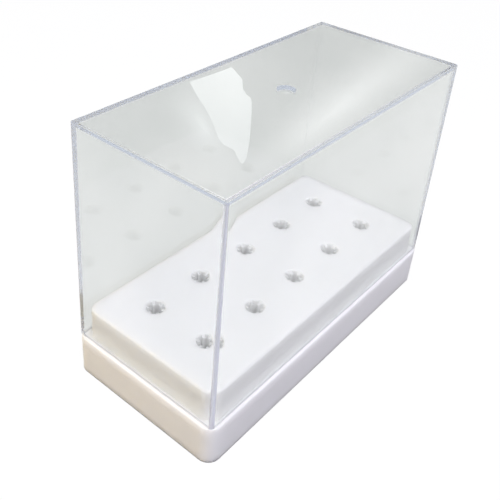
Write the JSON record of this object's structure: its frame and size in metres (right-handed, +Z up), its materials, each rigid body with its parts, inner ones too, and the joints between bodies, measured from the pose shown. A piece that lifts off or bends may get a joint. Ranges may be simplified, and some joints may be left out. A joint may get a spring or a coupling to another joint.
{
  "type": "bit case",
  "caption": "Clear lift-off cover over a white moulded base whose raised block holds rows of ribbed sockets for round-shank bits.",
  "frame": {"origin": "on the bench under the middle of the base", "axes": "+Z up; +X along the rows of sockets, the case's long side; +Y across the two rows"},
  "size_m": [0.08, 0.038, 0.0593],
  "materials": {
    "white_plastic": "white moulded polypropylene, glossy",
    "clear_plastic": "clear moulded polystyrene, polished, faintly grey at its edges"
  },
  "bodies": {
    "base": {"base": "white_plastic"},
    "cover": {"cover": "clear_plastic"}
  },
  "joints": [
    {"name": "cover_lift", "type": "slide", "parent": "base", "child": "cover", "axis": [0, 0, 1], "range_m": [0, 0.05]}
  ]
}
